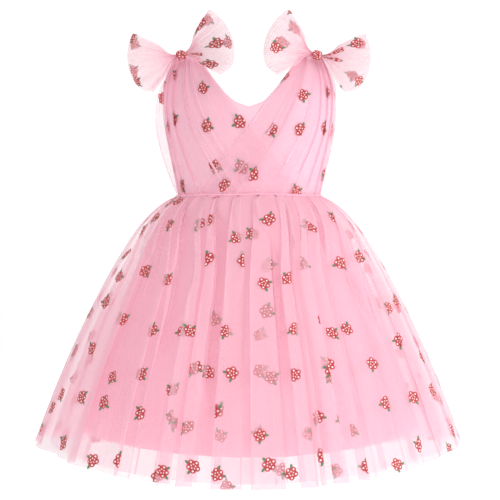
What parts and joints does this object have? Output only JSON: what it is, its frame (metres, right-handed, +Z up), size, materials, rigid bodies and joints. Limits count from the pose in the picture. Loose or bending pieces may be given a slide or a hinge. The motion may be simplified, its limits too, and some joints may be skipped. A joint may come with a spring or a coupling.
{
  "type": "toddler party dress",
  "caption": "Sleeveless toddler party dress with crossed gathered net bodice, shoulder bows and a full gathered net skirt, filled out as worn.",
  "frame": {"origin": "midway between the two shoulder seams, where the wearer's shoulders carry the dress", "axes": "+Z up, +X to the wearer's left, the front of the dress faces -Y"},
  "size_m": [0.5841, 0.3879, 0.6203],
  "materials": {
    "satin": "soft satin lining, pink",
    "net": "sheer matt net with a scattered flower print"
  },
  "bodies": {
    "root": {"lining_front": "satin", "front_wrap_right": "net", "front_wrap_left": "net", "lining_back_right": "satin", "lining_back_left": "satin", "back_net_right": "net", "back_net_left": "net", "bow_right_knot": "net", "bow_right_outer_loop": "net", "bow_right_inner_loop": "net", "bow_left_knot": "net", "bow_left_outer_loop": "net", "bow_left_inner_loop": "net", "skirt_over_net": "net", "skirt_under_net": "net", "skirt_lining": "satin"}
  },
  "joints": []
}
